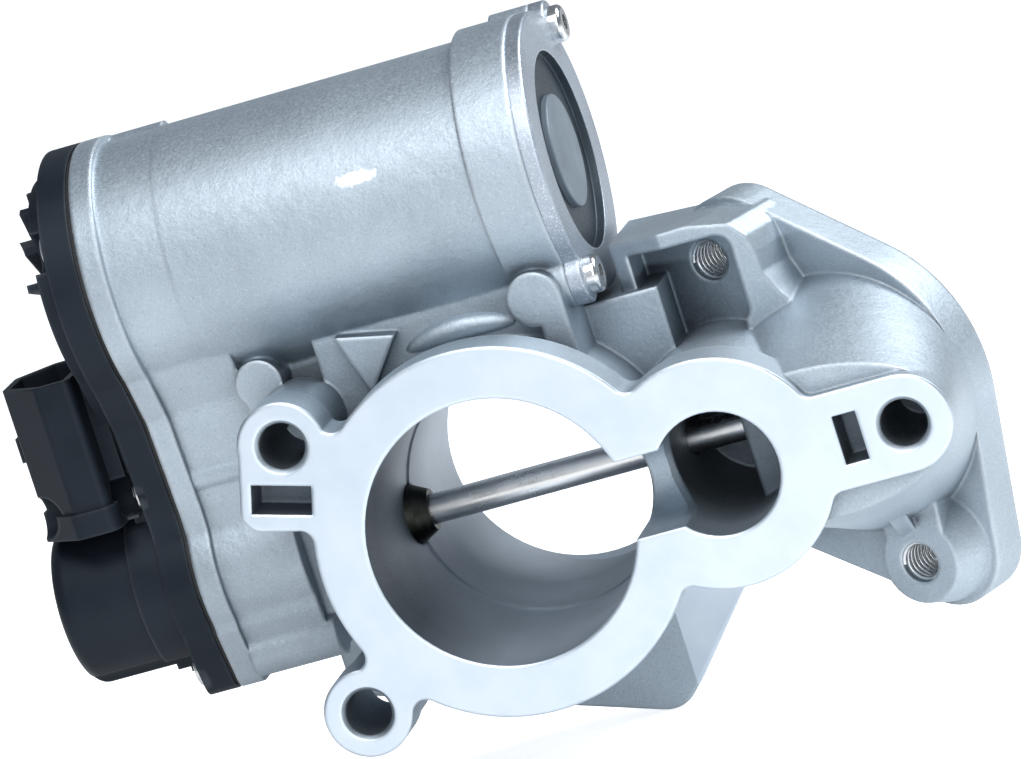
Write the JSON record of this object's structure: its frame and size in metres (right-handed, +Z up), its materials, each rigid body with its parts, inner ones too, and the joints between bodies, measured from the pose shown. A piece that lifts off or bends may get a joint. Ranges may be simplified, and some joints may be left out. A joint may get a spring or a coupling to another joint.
{
  "type": "egr valve",
  "caption": "Electric exhaust gas recirculation valve: cast body with air bore, inclined exhaust flange, motor barrel and a covered gear train that lifts a poppet valve.",
  "frame": {"origin": "centre of the air bore on the machined front face", "axes": "+X along the valve stem to the exhaust side, +Y into the body along the air bore, +Z up to the motor"},
  "size_m": [0.1885, 0.083, 0.1458],
  "materials": {
    "cast_aluminium": "as cast, fine blasted grain",
    "cap_aluminium": "as cast, satin",
    "black_plastic": "satin moulded",
    "seat_steel": "turned",
    "dark_steel": "sintered, oiled",
    "seal_rubber": "matt",
    "ground_steel": "ground",
    "spring_steel": "drawn",
    "zinc_steel": "zinc plated",
    "ferrite": "sintered",
    "brown_plastic": "moulded",
    "carbon": "pressed carbon",
    "plug_grey": "satin",
    "zinc_screws": "bright zinc plated",
    "tinned_brass": "tinned",
    "board_green": "lacquered",
    "stem_steel": "polished",
    "gear_plastic": "moulded",
    "lamination_steel": "stacked sheet",
    "copper_wire": "copper"
  },
  "bodies": {
    "housing": {"valve_housing": "cast_aluminium", "seat_ring": "seat_steel", "stem_bush": "dark_steel", "stem_seal": "seal_rubber", "guide_sleeve": "ground_steel", "return_spring": "spring_steel", "idler_pin": "ground_steel", "reduction_pin": "ground_steel", "motor_can": "zinc_steel", "field_magnets": "ferrite", "front_bearing": "ground_steel", "rear_bearing": "ground_steel", "brush_holder": "brown_plastic", "carbon_brushes": "carbon", "wave_washer": "spring_steel", "motor_end_cap": "cap_aluminium", "end_cap_seal": "seal_rubber", "end_cap_plug": "plug_grey", "end_cap_screws": "zinc_screws", "gear_cover": "black_plastic", "cover_gasket": "seal_rubber", "cover_screws": "zinc_screws", "connector_pins": "tinned_brass", "sensor_board": "board_green"},
    "valve": {"valve_stem": "stem_steel", "valve_head": "seat_steel", "cross_pin": "ground_steel", "cam_rollers": "ground_steel"},
    "output": {"output_gear": "gear_plastic", "sensor_magnet": "ferrite"},
    "idler": {"idler_gear": "gear_plastic"},
    "reduction": {"reduction_gear": "gear_plastic"},
    "rotor": {"motor_pinion": "ground_steel", "motor_shaft": "ground_steel", "armature_core": "lamination_steel", "armature_windings": "copper_wire", "commutator": "copper_wire"}
  },
  "joints": [
    {"name": "motor_spin", "type": "hinge", "parent": "housing", "child": "rotor", "pos_m": [-0.02, 0.041, 0.0606], "axis": [-1, 0, 0], "range_deg": [0, 1008]},
    {"name": "reduction_turn", "type": "hinge", "parent": "housing", "child": "reduction", "pos_m": [-0.058, 0.0464, 0.04051], "axis": [1, 0, 0], "range_deg": [0, 240.2]},
    {"name": "idler_turn", "type": "hinge", "parent": "housing", "child": "idler", "pos_m": [-0.055, 0.04801, 0.02379], "axis": [-1, 0, 0], "range_deg": [0, 96.2]},
    {"name": "output_turn", "type": "hinge", "parent": "housing", "child": "output", "pos_m": [-0.07, 0.041, 0], "axis": [1, 0, 0], "range_deg": [0, 90.2], "stiffness_Nm_per_rad": 0.12, "springref_deg": -34.38, "deforming": ["return_spring"]},
    {"name": "valve_lift", "type": "slide", "parent": "housing", "child": "valve", "axis": [1, 0, 0], "range_m": [0, 0.00602]}
  ],
  "couplings": [
    {"joint": "reduction_turn", "follows": "motor_spin", "ratio": 0.2381},
    {"joint": "idler_turn", "follows": "motor_spin", "ratio": 0.095238},
    {"joint": "output_turn", "follows": "motor_spin", "ratio": 0.089286},
    {"joint": "valve_lift", "follows": "motor_spin", "m_per_rad": 0.00034105}
  ]
}
